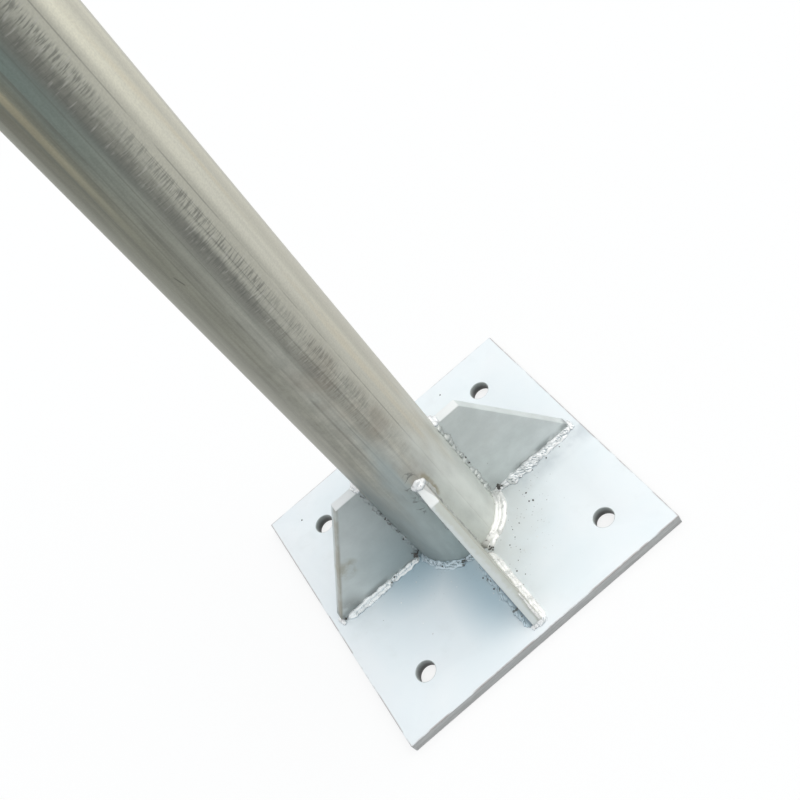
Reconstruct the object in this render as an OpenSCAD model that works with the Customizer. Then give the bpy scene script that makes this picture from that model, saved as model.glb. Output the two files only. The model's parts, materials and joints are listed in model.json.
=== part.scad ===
// Flagpole on a bolted base flange: a tapered tubular shaft stands on a square plate,
// four gussets brace it, and fillet welds join them. A truck with a halyard sheave and
// a ball finial close the top, and a cleat sits at hand height. Millimetres, +Z up,
// origin at the centre of the plate's underside.

/* [Base plate] */
// Side of the square base plate
plate_side = 250; // [230:1:320]
// Thickness of the base plate
plate_thickness = 10; // [6:1:20]
// Distance between anchor hole centres along each side
anchor_spacing = 172; // [150:1:200]
// Diameter of the anchor holes
anchor_hole_d = 16; // [10:0.5:24]

/* [Pole shaft] */
// Height of the shaft above the plate
pole_height = 4000; // [2500:10:6000]
// Outside diameter of the shaft at the plate
pole_base_d = 72; // [60:1:84]
// Outside diameter of the shaft at its top
pole_top_d = 40; // [34:1:50]
// Wall thickness of the shaft
pole_wall = 3; // [2:0.5:6]

/* [Gussets] */
// Thickness of each gusset plate
gusset_thickness = 8; // [5:0.5:12]
// Distance from a gusset's toe to the edge of the plate
toe_margin = 8; // [8:0.5:30]
// Height of a gusset above the base plate
gusset_height = 106; // [70:1:160]
// Width of a gusset's level top edge
gusset_top = 22; // [8:1:40]
// Height of the blunt toe at a gusset's outer end
gusset_toe = 4; // [2:0.5:10]

/* [Welds] */
// Reach over the plate of the weld round the shaft's foot
ring_weld_leg = 10; // [5:0.5:12]
// Reach over the plate of the welds along each gusset's foot
foot_weld_leg = 9; // [4:0.5:11]
// Leg of the fillet welds between gussets and shaft
seam_weld_leg = 4; // [2:0.5:6]
// Leg of the weld across each gusset's top, against the shaft
top_weld_leg = 7; // [3:0.5:10]
// Reach of the weld wrapped round each gusset's toe
toe_weld_leg = 6; // [3:0.5:8]
// Length of one ripple in the hand-laid welds on the plate
ripple_pitch = 4; // [2.5:0.5:6]

/* [Truck] */
// Length of the truck's sleeve down over the shaft
truck_sleeve = 60; // [40:1:90]
// Wall thickness of the truck's sleeve
truck_wall = 5; // [3:0.5:8]
// Thickness of the truck's roof
truck_roof = 10; // [6:1:16]
// Diameter of the halyard sheave
sheave_d = 44; // [36:1:50]
// Width of the halyard sheave
sheave_width = 14; // [12:0.5:20]
// Diameter of the halyard that runs in the sheave's groove
halyard_d = 8; // [5:0.5:10]
// Diameter of the sheave's pin
pin_d = 8; // [6:0.5:12]
// Thickness of each of the truck's two cheeks
cheek_thickness = 5; // [3:0.5:8]

/* [Finial] */
// Diameter of the ball
ball_d = 100; // [70:1:140]
// Wall thickness of the ball
ball_wall = 1.5; // [1:0.5:4]
// Diameter of the finial's stem
stem_d = 16; // [12:0.5:22]
// Length of the stem between its two collars
stem_length = 22; // [10:1:40]
// Diameter of the stem's collars
collar_d = 32; // [26:1:40]
// Thickness of each collar
collar_height = 6; // [4:0.5:10]

/* [Cleat] */
// Height of the cleat's middle above the ground
cleat_height = 1250; // [700:10:1600]
// Length of the cleat from horn tip to horn tip
cleat_length = 150; // [120:1:200]
// Diameter of the horns at the middle
horn_d = 15; // [12:0.5:18]
// Diameter of the horns at their tips
horn_tip_d = 9; // [6:0.5:11]
// Distance between the cleat's two legs
leg_spacing = 46; // [40:1:56]
// Diameter of each leg
leg_d = 14; // [10:0.5:18]
// Distance from the shaft to the horns' centre line
horn_standoff = 34; // [28:1:45]
// Width of the cleat's foot pad
pad_width = 24; // [20:0.5:30]
// Thickness of the cleat's foot pad
pad_thickness = 6; // [4:0.5:10]

/* [Hidden] */
$fn = 96;
// Overrun that carries every cut clear of its faces
cut = 1;
// Clearance between pieces that slip over one another
slip = 0.25;

// Height of the plate's upper face, where the shaft stands
deck = plate_thickness;
// Height of the shaft's top rim
pole_top = deck + pole_height;
pole_base_r = pole_base_d / 2;
pole_top_r = pole_top_d / 2;
// Shaft radius lost for each millimetre of height
taper_share = (pole_base_r - pole_top_r) / pole_height;
function pole_r(above_deck) = pole_base_r - taper_share * above_deck;

// Distance from the pole's axis to a gusset's toe, and to the end of its top edge
gusset_reach = plate_side / 2 - toe_margin;
gusset_top_reach = pole_r(gusset_height) + gusset_top;

// How far a weld's face swells out beyond its straight chord, as a share of the leg
crown_share = 0.16;
// Straight steps in the outline of a weld's face
crown_steps = 6;
// Height of a weld that stands on the plate, as a share of its reach
rise_share = 0.75;
// Each ripple swells slowly from its root to its crest, then drops to the next root
crest_share = 0.65;
// Depth of a ripple's root below its crest, as a share of the reach
root_share = 0.14;
// How unevenly the crests are laid, as a share of the reach
waver_share = 0.1;
// Widest that an uneven crest can reach over the plate
ring_weld_reach = ring_weld_leg * (1 + waver_share);
gusset_half = gusset_thickness / 2;

truck_bore_r = pole_r(pole_height - truck_sleeve) + slip;
truck_r = truck_bore_r + truck_wall;
truck_top = pole_top + truck_roof;
// Rounding of the truck's upper rim
truck_round = truck_roof / 2;
sheave_r = sheave_d / 2;
pin_r = pin_d / 2;
groove_r = halyard_d / 2;
// Gap between the sheave's rim and the sleeve, and between its sides and the cheeks
sheave_gap = 6;
cheek_gap = 0.5;
sheave_x = truck_r + sheave_gap + sheave_r;
// The sheave stands level with the middle of the sleeve
sheave_z = pole_top - truck_sleeve / 2;
cheek_inner = sheave_width / 2 + cheek_gap;
cheek_outer = cheek_inner + cheek_thickness;
cheek_end_share = 1.25;
cheek_end_r = pin_d * cheek_end_share;
// Height of the cheeks where they leave the sleeve
cheek_root_share = 0.7;
cheek_root = truck_sleeve * cheek_root_share;
pin_head_share = 1.6;
pin_head_d = pin_d * pin_head_share;
pin_head_height = pin_d / 2;

collar_r = collar_d / 2;
stem_r = stem_d / 2;
ball_r = ball_d / 2;
ball_seat = truck_top + 2 * collar_height + stem_length;
// Height of the ball's centre, with the collar's rim on its surface
ball_z = ball_seat + sqrt(ball_r * ball_r - collar_r * collar_r);
// The stem runs on into the ball as a short spigot
spigot_height = stem_d;

cleat_above_deck = cleat_height - deck;
cleat_r = pole_r(cleat_above_deck);
horn_r = horn_d / 2;
horn_tip_r = horn_tip_d / 2;
horn_half = cleat_length / 2 - horn_tip_r;
// How far the horns' tips lean away from the shaft
horn_flare = horn_d / 2;
pad_length = leg_spacing + leg_d * 2;

paint_silver = [0.86, 0.89, 0.90];
paint_shade = [0.66, 0.69, 0.69];
steel_grey = [0.68, 0.68, 0.64];
weld_silver = [0.90, 0.91, 0.90];
cast_grey = [0.72, 0.73, 0.73];

SIDES = ["right", "back", "left", "front"];
RUNS = ["a", "b"];

// Place of each side of the plate in the order of SIDES, and its turn from +X
function place_of(side) = search([side], SIDES)[0];
function turn_of(side) = 90 * place_of(side);

// Outer surface of the shaft, filled, for trimming what fits against it
module pole_solid() {
    translate([0, 0, deck])
        cylinder(h = pole_height, r1 = pole_base_r, r2 = pole_top_r);
}

// Outline of a fillet weld: the corner, then a swelling face from one toe up to the other
function fillet_points(leg, rise) = concat([[0, 0]], [
    for (i = [0 : crown_steps])
        let (t = i / crown_steps, swell = crown_share * 4 * t * (1 - t))
        [leg * (1 - t) + rise * swell, rise * t + leg * swell]
]);

// Cross section of a plain fillet weld
module fillet(leg, rise) {
    polygon(fillet_points(leg, rise));
}

// Number of ripples in a weld
function ripple_count(run_length) = max(1, round(run_length / ripple_pitch));

// Places along a rippled weld, as shares of its length, each with the weld's reach there
function ripples(count, leg, seed) =
    let (waver = rands(-waver_share, waver_share, count, seed), root = leg * (1 - root_share))
    concat([
        for (i = [0 : count - 1])
            each [[i / count, root], [(i + crest_share) / count, leg * (1 + waver[i])]]
    ], [[1, root]]);

// Solid skin over a row of sections with the same number of points
module swept(sections) {
    across = len(sections[0]);
    last = len(sections) - 1;
    skin = [
        for (i = [0 : last - 1], j = [0 : across - 1])
            let (k = (j + 1) % across, here = i * across, there = here + across)
            each [[here + j, there + k, here + k], [here + j, there + j, there + k]]
    ];
    near_end = [for (j = [0 : across - 1]) j];
    far_end = [for (j = [across - 1 : -1 : 0]) last * across + j];
    polyhedron([for (section = sections) each section], concat([near_end, far_end], skin));
}

module base_plate() {
    color(paint_silver)
        difference() {
            translate([-plate_side / 2, -plate_side / 2, 0])
                cube([plate_side, plate_side, plate_thickness]);
            for (x = [-1, 1], y = [-1, 1])
                translate([x * anchor_spacing / 2, y * anchor_spacing / 2, -cut])
                    cylinder(h = plate_thickness + 2 * cut, d = anchor_hole_d);
        }
}

module pole_shaft() {
    color(steel_grey)
        translate([0, 0, deck])
            rotate_extrude()
                polygon([
                    [pole_base_r - pole_wall, 0], [pole_base_r, 0],
                    [pole_top_r, pole_height], [pole_top_r - pole_wall, pole_height]
                ]);
}

module gusset(side) {
    color(paint_shade)
        rotate([0, 0, turn_of(side)])
            difference() {
                translate([0, gusset_thickness / 2, deck])
                    rotate([90, 0, 0])
                        linear_extrude(gusset_thickness)
                            polygon([
                                [0, 0], [gusset_reach, 0], [gusset_reach, gusset_toe],
                                [gusset_top_reach, gusset_height], [0, gusset_height]
                            ]);
                pole_solid();
            }
}

// Rippled weld round the shaft's foot, in the quarter that follows a gusset anticlockwise
module ring_weld(side) {
    start = asin(gusset_half / pole_base_r);
    sweep = 90 - 2 * start;
    count = ripple_count(PI * pole_base_d * sweep / 360);
    // The flats between sections lie against the shaft at their middles
    inner_r = pole_base_r / cos(crest_share * sweep / count / 2);
    color(weld_silver)
        rotate([0, 0, turn_of(side)])
            translate([0, 0, deck])
                swept([
                    for (ripple = ripples(count, ring_weld_leg, place_of(side)))
                        let (angle = start + sweep * ripple[0])
                        [for (p = fillet_points(ripple[1], ripple[1] * rise_share))
                            [(inner_r + p[0]) * cos(angle), (inner_r + p[0]) * sin(angle), p[1]]]
                ]);
}

// One of the two rippled welds along a gusset's foot, from the ring weld out to the toe
module foot_weld(side, run) {
    start = pole_base_r + ring_weld_reach;
    run_length = gusset_reach - start;
    seed = len(SIDES) + len(RUNS) * place_of(side) + search([run], RUNS)[0];
    color(weld_silver)
        rotate([0, 0, turn_of(side)])
            mirror([0, run == "a" ? 0 : 1, 0])
                translate([start, gusset_half, deck])
                    swept([
                        for (ripple = ripples(ripple_count(run_length), foot_weld_leg, seed))
                            [for (p = fillet_points(ripple[1], ripple[1] * rise_share))
                                [run_length * ripple[0], p[0], p[1]]]
                    ]);
}

// One of the two welds that run up between a gusset and the shaft, from the ring weld
module seam_weld(side, run) {
    start = ring_weld_reach * rise_share;
    top_r = pole_r(gusset_height);
    corner = sqrt(top_r * top_r - gusset_half * gusset_half);
    color(weld_silver)
        rotate([0, 0, turn_of(side)])
            mirror([0, run == "a" ? 0 : 1, 0])
                difference() {
                    translate([0, gusset_half, deck + start])
                        linear_extrude(gusset_height - start)
                            union() {
                                translate([corner, 0])
                                    fillet(seam_weld_leg, seam_weld_leg);
                                translate([corner - seam_weld_leg, 0])
                                    square(seam_weld_leg);
                            }
                    pole_solid();
                }
}

// Weld across a gusset's top, against the shaft
module top_weld(side) {
    top_r = pole_r(gusset_height + top_weld_leg);
    corner = sqrt(top_r * top_r - gusset_half * gusset_half);
    color(weld_silver)
        rotate([0, 0, turn_of(side)])
            difference() {
                translate([corner, gusset_half, deck + gusset_height])
                    rotate([90, 0, 0])
                        linear_extrude(gusset_thickness)
                            fillet(top_weld_leg, top_weld_leg);
                pole_solid();
            }
}

// Weld that joins the two foot welds of a gusset round its toe
module toe_weld(side) {
    color(weld_silver)
        rotate([0, 0, turn_of(side)])
            translate([gusset_reach, 0, deck])
                union() {
                    translate([0, gusset_half, 0])
                        rotate([90, 0, 0])
                            linear_extrude(gusset_thickness)
                                fillet(toe_weld_leg, gusset_toe);
                    for (end = [0, 1])
                        mirror([0, end, 0])
                            translate([0, gusset_half, 0])
                                rotate_extrude(angle = 90)
                                    fillet(toe_weld_leg, gusset_toe);
                }
}

// Outline of a cheek: a round end about the pin, running back to the sleeve
module cheek_outline() {
    translate([sheave_x, sheave_z])
        circle(r = cheek_end_r);
    polygon([
        [0, sheave_z - cheek_root / 2], [truck_r, sheave_z - cheek_root / 2],
        [sheave_x, sheave_z - cheek_end_r], [sheave_x, sheave_z + cheek_end_r],
        [truck_r, sheave_z + cheek_root / 2], [0, sheave_z + cheek_root / 2]
    ]);
}

module truck_body() {
    color(cast_grey)
        difference() {
            union() {
                translate([0, 0, pole_top - truck_sleeve])
                    cylinder(h = truck_sleeve + truck_roof - truck_round, r = truck_r);
                translate([0, 0, truck_top - truck_round])
                    rotate_extrude()
                        intersection() {
                            union() {
                                square([truck_r - truck_round, truck_round]);
                                translate([truck_r - truck_round, 0])
                                    circle(r = truck_round);
                            }
                            square([truck_r, truck_round]);
                        }
                for (y = [cheek_inner, -cheek_outer])
                    translate([0, y + cheek_thickness, 0])
                        rotate([90, 0, 0])
                            linear_extrude(cheek_thickness)
                                cheek_outline();
            }
            translate([0, 0, pole_top - truck_sleeve - cut])
                cylinder(h = truck_sleeve + cut, r = truck_bore_r);
            translate([sheave_x, cheek_outer + cut, sheave_z])
                rotate([90, 0, 0])
                    cylinder(h = 2 * cheek_outer + 2 * cut, r = pin_r + slip);
        }
}

module sheave() {
    color(steel_grey)
        translate([sheave_x, sheave_width / 2, sheave_z])
            rotate([90, 0, 0])
                rotate_extrude()
                    difference() {
                        translate([pin_r + slip, 0])
                            square([sheave_r - pin_r - slip, sheave_width]);
                        translate([sheave_r, sheave_width / 2])
                            circle(r = groove_r);
                    }
}

module sheave_pin() {
    color(steel_grey)
        translate([sheave_x, 0, sheave_z])
            rotate([90, 0, 0]) {
                translate([0, 0, -cheek_outer])
                    cylinder(h = 2 * cheek_outer, r = pin_r);
                for (z = [-cheek_outer - pin_head_height, cheek_outer])
                    translate([0, 0, z])
                        cylinder(h = pin_head_height, d = pin_head_d);
            }
}

module finial_stem() {
    color(cast_grey)
        translate([0, 0, truck_top])
            rotate_extrude()
                polygon([
                    [0, 0], [collar_r, 0], [collar_r, collar_height],
                    [stem_r, collar_height], [stem_r, collar_height + stem_length],
                    [collar_r, collar_height + stem_length],
                    [collar_r, 2 * collar_height + stem_length],
                    [stem_r, 2 * collar_height + stem_length],
                    [stem_r, 2 * collar_height + stem_length + spigot_height],
                    [0, 2 * collar_height + stem_length + spigot_height]
                ]);
}

module finial_ball() {
    color(cast_grey)
        difference() {
            translate([0, 0, ball_z])
                sphere(r = ball_r);
            translate([0, 0, ball_z])
                sphere(r = ball_r - ball_wall);
            translate([0, 0, ball_seat - ball_r])
                cylinder(h = ball_r, r = ball_r);
            translate([0, 0, ball_seat - cut])
                cylinder(h = ball_r, r = stem_r + slip);
        }
}

// One horn of the cleat, from its middle up to its rounded tip
module horn() {
    lean = atan2(horn_flare, horn_half);
    run = sqrt(horn_half * horn_half + horn_flare * horn_flare);
    rotate([0, lean, 0]) {
        cylinder(h = run, r1 = horn_r, r2 = horn_tip_r);
        translate([0, 0, run])
            sphere(r = horn_tip_r);
    }
}

module cleat() {
    color(cast_grey)
        difference() {
            translate([0, 0, cleat_height]) {
                translate([cleat_r + horn_standoff, 0, 0]) {
                    sphere(r = horn_r);
                    horn();
                    mirror([0, 0, 1])
                        horn();
                }
                for (z = [-1, 1])
                    translate([0, 0, z * leg_spacing / 2])
                        rotate([0, 90, 0])
                            cylinder(h = cleat_r + horn_standoff, d = leg_d);
                rotate([0, 90, 0])
                    linear_extrude(cleat_r + pad_thickness)
                        union() {
                            square([pad_length - pad_width, pad_width], center = true);
                            for (x = [-1, 1])
                                translate([x * (pad_length - pad_width) / 2, 0])
                                    circle(d = pad_width);
                        }
            }
            pole_solid();
        }
}

base_plate();
pole_shaft();
for (side = SIDES) {
    gusset(side);
    ring_weld(side);
    top_weld(side);
    toe_weld(side);
    for (run = RUNS) {
        foot_weld(side, run);
        seam_weld(side, run);
    }
}
truck_body();
sheave();
sheave_pin();
finial_stem();
finial_ball();
cleat();
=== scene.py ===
import json
import math
import random

import bpy
from mathutils import Matrix, Vector


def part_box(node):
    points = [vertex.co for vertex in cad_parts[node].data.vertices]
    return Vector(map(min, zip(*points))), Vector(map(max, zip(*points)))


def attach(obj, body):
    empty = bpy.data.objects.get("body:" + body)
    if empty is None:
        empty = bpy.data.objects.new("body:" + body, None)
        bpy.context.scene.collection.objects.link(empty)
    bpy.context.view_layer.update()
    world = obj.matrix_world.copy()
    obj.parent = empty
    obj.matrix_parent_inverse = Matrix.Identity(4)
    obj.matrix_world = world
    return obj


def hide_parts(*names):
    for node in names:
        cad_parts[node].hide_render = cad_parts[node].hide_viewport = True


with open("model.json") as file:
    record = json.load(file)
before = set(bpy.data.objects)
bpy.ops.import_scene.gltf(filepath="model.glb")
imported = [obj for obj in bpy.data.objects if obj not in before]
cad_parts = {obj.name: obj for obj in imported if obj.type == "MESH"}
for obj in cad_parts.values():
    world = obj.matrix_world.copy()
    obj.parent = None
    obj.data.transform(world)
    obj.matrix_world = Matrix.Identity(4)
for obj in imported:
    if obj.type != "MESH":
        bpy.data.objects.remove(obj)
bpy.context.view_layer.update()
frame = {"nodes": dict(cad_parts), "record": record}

# The base plate is a square of hot-rolled steel, sawn to size and drilled near each corner for
# the anchor bolts. It was sprayed with matt silver-white paint after welding, thinly on its edges.
MM = 0.001
plate_low, plate_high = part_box("base_plate")
plate_half = plate_high.x
deck = plate_high.z
anchor_dims = next(m["dims"] for m in frame["record"]["mounts"] if m["name"] == "anchor_bolts")
anchor_spacing = anchor_dims["spacing_x_mm"] * MM
anchor_hole_r = anchor_dims["hole_r_mm"] * MM
plate_edge_round = 0.6 * MM


def only(piece):
    """Deselect everything, then select this piece and make it the active one."""
    bpy.ops.object.select_all(action="DESELECT")
    piece.select_set(True)
    bpy.context.view_layer.objects.active = piece


def fix_in_place(piece):
    """Carry the object's place, turn and scale into its mesh."""
    only(piece)
    bpy.ops.object.transform_apply(location=True, rotation=True, scale=True)


def finish_with(piece, kind, **settings):
    """Add one modifier, set it and apply it."""
    only(piece)
    modifier = piece.modifiers.new(kind.lower(), kind)
    for name, value in settings.items():
        setattr(modifier, name, value)
    bpy.ops.object.modifier_apply(modifier=modifier.name)


def round_edges(piece, width, over_degrees, segments=3):
    """Round the edges that turn by more than an angle."""
    finish_with(piece, "BEVEL", width=width, segments=segments, limit_method="ANGLE",
                angle_limit=math.radians(over_degrees))


def smooth(piece, up_to_degrees):
    """Shade a piece smooth, apart from edges sharper than an angle."""
    only(piece)
    bpy.ops.object.shade_smooth_by_angle(angle=math.radians(up_to_degrees))


def hand_over(piece, finish, node=None):
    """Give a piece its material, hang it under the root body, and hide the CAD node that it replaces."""
    piece.data.materials.append(finish)
    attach(piece, "root")
    if node:
        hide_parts(node)


class Pattern:
    """A value that a material's nodes work out, and the sums and ramps that make new values of it."""

    def __init__(self, tree, socket):
        self.tree = tree
        self.socket = socket

    def other(self, output):
        """Another output of the same node."""
        return Pattern(self.tree, self.socket.node.outputs[output])

    def work(self, operation, number=0.0):
        """One step of arithmetic with a second pattern or a number."""
        return pattern(self.tree, "ShaderNodeMath", 0, {"operation": operation}, i0=self, i1=number)

    def __add__(self, number):
        return self.work("ADD", number)

    def __sub__(self, number):
        return self.work("SUBTRACT", number)

    def __mul__(self, number):
        return self.work("MULTIPLY", number)

    def __truediv__(self, number):
        return self.work("DIVIDE", number)

    def __abs__(self):
        return self.work("ABSOLUTE")

    def most(self, number):
        """The greater of the two."""
        return self.work("MAXIMUM", number)

    def band(self, low, high, at_low=0.0, at_high=1.0):
        """A smooth ramp from one value at low to another at high."""
        return pattern(self.tree, "ShaderNodeMapRange", "Result", {"interpolation_type": "SMOOTHSTEP"},
                       Value=self, From_Min=low, From_Max=high, To_Min=at_low, To_Max=at_high)


def plug(tree, socket, value):
    """Link a pattern to a node's input, or set the input to a plain value."""
    if isinstance(value, Pattern):
        tree.links.new(value.socket, socket)
    else:
        socket.default_value = value


def add_node(tree, kind, settings=None, **inputs):
    """Add a shader node with its settings and inputs; i0 is the input numbered 0."""
    node = tree.nodes.new(kind)
    for name, value in (settings or {}).items():
        setattr(node, name, value)
    for name, value in inputs.items():
        key = int(name[1:]) if name[0] == "i" and name[1:].isdigit() else name.replace("_", " ")
        plug(tree, node.inputs[key], value)
    return node


def pattern(tree, kind, output, settings=None, **inputs):
    """Add a shader node and give one of its outputs."""
    return Pattern(tree, add_node(tree, kind, settings, **inputs).outputs[output])


def axes_of(tree, vector):
    """The three coordinates of a vector."""
    x = pattern(tree, "ShaderNodeSeparateXYZ", "X", Vector=vector)
    return x, x.other("Y"), x.other("Z")


def length_of(x, y):
    """The length of a flat vector."""
    return (x * x + y * y).work("SQRT")


def blend(tree, share, first, second, way="MIX"):
    """Mix two colours by a share from 0 to 1, or multiply them."""
    return pattern(tree, "ShaderNodeMix", 2, {"data_type": "RGBA", "blend_type": way},
                   i0=share, i6=first, i7=second)


class Finish:
    """A material on Object coordinates, whose colour is built up coat by coat."""

    def __init__(self, name):
        self.material = bpy.data.materials.new(name)
        self.material.use_nodes = True
        self.tree = self.material.node_tree
        self.place = pattern(self.tree, "ShaderNodeTexCoord", "Object")
        self.x, self.y, self.z = axes_of(self.tree, self.place)

    def noise(self, scale, detail=4.0, stretch=(1, 1, 1), shift=(0, 0, 0), rough=0.5, place=None):
        """A noise pattern, stretched and shifted first."""
        mapped = pattern(self.tree, "ShaderNodeMapping", "Vector", Vector=place or self.place,
                         Scale=stretch, Location=shift)
        return pattern(self.tree, "ShaderNodeTexNoise", "Fac", Vector=mapped, Scale=scale,
                       Detail=detail, Roughness=rough)

    def specks(self, spacing, size, kept):
        """Scattered round dots: about one a spacing, of which only a share is kept."""
        away = pattern(self.tree, "ShaderNodeTexVoronoi", "Distance", Vector=self.place, Scale=1 / spacing)
        pick = pattern(self.tree, "ShaderNodeSeparateColor", 0, Color=away.other("Color"))
        return away.band(size / spacing, 0.5 * size / spacing) * pick.work("LESS_THAN", kept)

    def mix(self, share, first, second):
        """Mix two tones by a share from 0 to 1."""
        return blend(self.tree, share, first, second)

    def shaded(self, tone, factor):
        """A tone, darkened or lightened."""
        return blend(self.tree, 1.0, tone, factor, "MULTIPLY")

    def shade(self, factor):
        """Darken or lighten the colour so far."""
        self.colour = self.shaded(self.colour, factor)

    def coat(self, share, tone):
        """Lay a tone over the colour so far, by a share from 0 to 1."""
        self.colour = self.mix(share, self.colour, tone)

    def done(self, roughness, height, strength, depth, metallic=0.0):
        """Connect the colour, the surface values and a bump from a height, and hand the material over."""
        bump = pattern(self.tree, "ShaderNodeBump", "Normal", Strength=strength, Distance=depth,
                       Height=height)
        shader = self.tree.nodes["Principled BSDF"]
        for name, value in (("Base Color", self.colour), ("Metallic", metallic),
                            ("Roughness", roughness), ("Normal", bump)):
            plug(self.tree, shader.inputs[name], value)
        return self.material


cloud_scale = 16.0
grain_scale = 700.0


def silver_paint(name, thin_coat, full_coat, dust_share):
    """Sprayed silver-white paint: cloudy, with dust and a few dark specks."""
    paint = Finish(name)
    paint.colour = paint.mix(paint.noise(cloud_scale, 3.0).band(0.3, 0.7), thin_coat, full_coat)
    dust = paint.noise(42.0, 6.0, rough=0.62).band(0.52, 0.74, 0.0, dust_share)
    paint.coat(dust, (0.50, 0.49, 0.45, 1))
    paint.coat(paint.specks(12 * MM, 0.55 * MM, 0.22) * 0.6, (0.26, 0.26, 0.25, 1))
    return paint


def dry(paint):
    """Finish sprayed paint: satin in clouds, with a fine grain."""
    gloss = paint.noise(cloud_scale, 3.0).band(0.3, 0.7, 0.42, 0.58)
    return paint.done(gloss, paint.noise(grain_scale, 3.0), 0.15, 0.2 * MM)


def plate_paint():
    """The plate's paint: painted shade by the near and left welds, smoke and painted shade round the shaft's
    foot, bare in the holes with painted shade deeper down, worn at the sawn edges.
    Places are in metres from the plate's middle."""
    paint = silver_paint("plate_paint", (0.85, 0.905, 0.925, 1), (0.90, 0.93, 0.94, 1), 0.08)
    x, y, z = paint.x, paint.y, paint.z
    from_middle = abs(x).most(abs(y))
    from_axis = length_of(x, y)
    leftward = x.band(0.01, -0.02)
    # Painted shade: bluish, strongest on the left, beside the near and left gussets and round the shaft.
    by_near = abs(x).band(0.060, 0.008) * abs(y).band(0.125, 0.075, 0.0, 0.7)
    by_left = abs(y).band(0.060, 0.008) * abs(x).band(0.105, 0.050, 0.0, 0.7)
    painted_corner_shade = by_near.most(by_left) * leftward.band(0.0, 1.0, 0.2, 1.0)
    painted_corner_shade = painted_corner_shade.most(from_axis.band(0.15, 0.05, 0.0, 0.16)) * y.band(0.06, 0.0, 0.2, 1.0)
    paint.coat(painted_corner_shade, (0.36, 0.53, 0.62, 1))
    # Smoke marks and painted shade on the plate in front of the right gusset's foot weld.
    grey = y.band(-0.030, -0.014) * y.band(0.002, -0.004) * x.band(0.050, 0.066)
    paint.coat(grey * paint.noise(55.0, 5.0).band(0.34, 0.62, 0.1, 0.55), (0.52, 0.57, 0.60, 1))
    # Weld smoke and painted shade round the shaft's foot, on the right half.
    smoke_and_shade = from_axis.band(0.092, 0.044, 0.0, 0.48) * paint.noise(60.0, 5.0).band(0.25, 0.65, 0.35, 1.0)
    paint.coat(smoke_and_shade * leftward.band(1.0, 0.0), (0.62, 0.635, 0.60, 1))
    flecks = paint.specks(2.8 * MM, 0.5 * MM, 0.5) * from_axis.band(0.095, 0.055, 0.0, 0.7)
    flecks = flecks * y.band(0.01, -0.02) * leftward.band(1.0, 0.0, 0.25, 1.0)
    paint.coat(flecks, (0.25, 0.25, 0.24, 1))
    # The hole walls are bare steel, with painted shade that deepens towards the bottom of each hole.
    from_hole = length_of(abs(x) - anchor_spacing / 2, abs(y) - anchor_spacing / 2)
    bored = from_hole.band(anchor_hole_r + 0.7 * MM, anchor_hole_r + 0.3 * MM)
    wall = paint.mix(z.band(deck, 0.3 * deck), (0.52, 0.56, 0.55, 1), (0.09, 0.095, 0.09, 1))
    paint.coat(bored, wall)
    sawn = from_middle.band(plate_half - plate_edge_round / 2, plate_half)
    saw_marks = paint.noise(1.0, 3.0, (60, 60, 900)).band(0.3, 0.7, 0.8, 1.1)
    paint.coat(sawn * 0.75, paint.shaded((0.65, 0.65, 0.64, 1), saw_marks))
    rim = from_middle.band(plate_half - 1.5 * MM, plate_half - 0.2 * MM)
    rim = rim * z.band(deck - 1.2 * MM, deck - 0.2 * MM)
    worn = rim * paint.noise(70.0, 4.0).band(0.36, 0.58)
    paint.coat(worn * 0.75, (0.36, 0.30, 0.28, 1))
    return dry(paint)


bpy.ops.object.select_all(action="DESELECT")
bpy.ops.mesh.primitive_cube_add(size=1, location=(plate_low + plate_high) / 2)
plate = bpy.context.object
plate.name = "painted_base_plate"
plate.scale = plate_high - plate_low
fix_in_place(plate)
for x_side in (-1, 1):
    for y_side in (-1, 1):
        bpy.ops.mesh.primitive_cylinder_add(
            vertices=72, radius=anchor_hole_r, depth=4 * deck,
            location=(x_side * anchor_spacing / 2, y_side * anchor_spacing / 2, deck / 2))
        drill = bpy.context.object
        finish_with(plate, "BOOLEAN", operation="DIFFERENCE", solver="EXACT", object=drill)
        bpy.data.objects.remove(drill)
round_edges(plate, plate_edge_round, 40)
smooth(plate, 30)
hand_over(plate, plate_paint(), "base_plate")

# The shaft is a tapered steel tube, rolled to a cone and seam-welded. Its lowest stretch caught
# the plate's silver spray; above that the metal is bare, dressed along the seam and scratched.
shaft_low, shaft_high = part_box("pole_shaft")
shaft_r = shaft_high.x
shaft_height = shaft_high.z - shaft_low.z
shaft_top_r = max(math.hypot(v.co.x, v.co.y) for v in frame["nodes"]["pole_shaft"].data.vertices
                  if v.co.z > shaft_high.z - MM)
shaft_taper_share = (shaft_r - shaft_top_r) / shaft_height
shaft_wall = 3 * MM
shaft_sides = 192
shaft_seam_degrees = -61.5
shaft_seam_half = 0.45 * MM
shaft_seam_depth = 0.15 * MM
gusset_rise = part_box("gusset_right")[1].z


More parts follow.
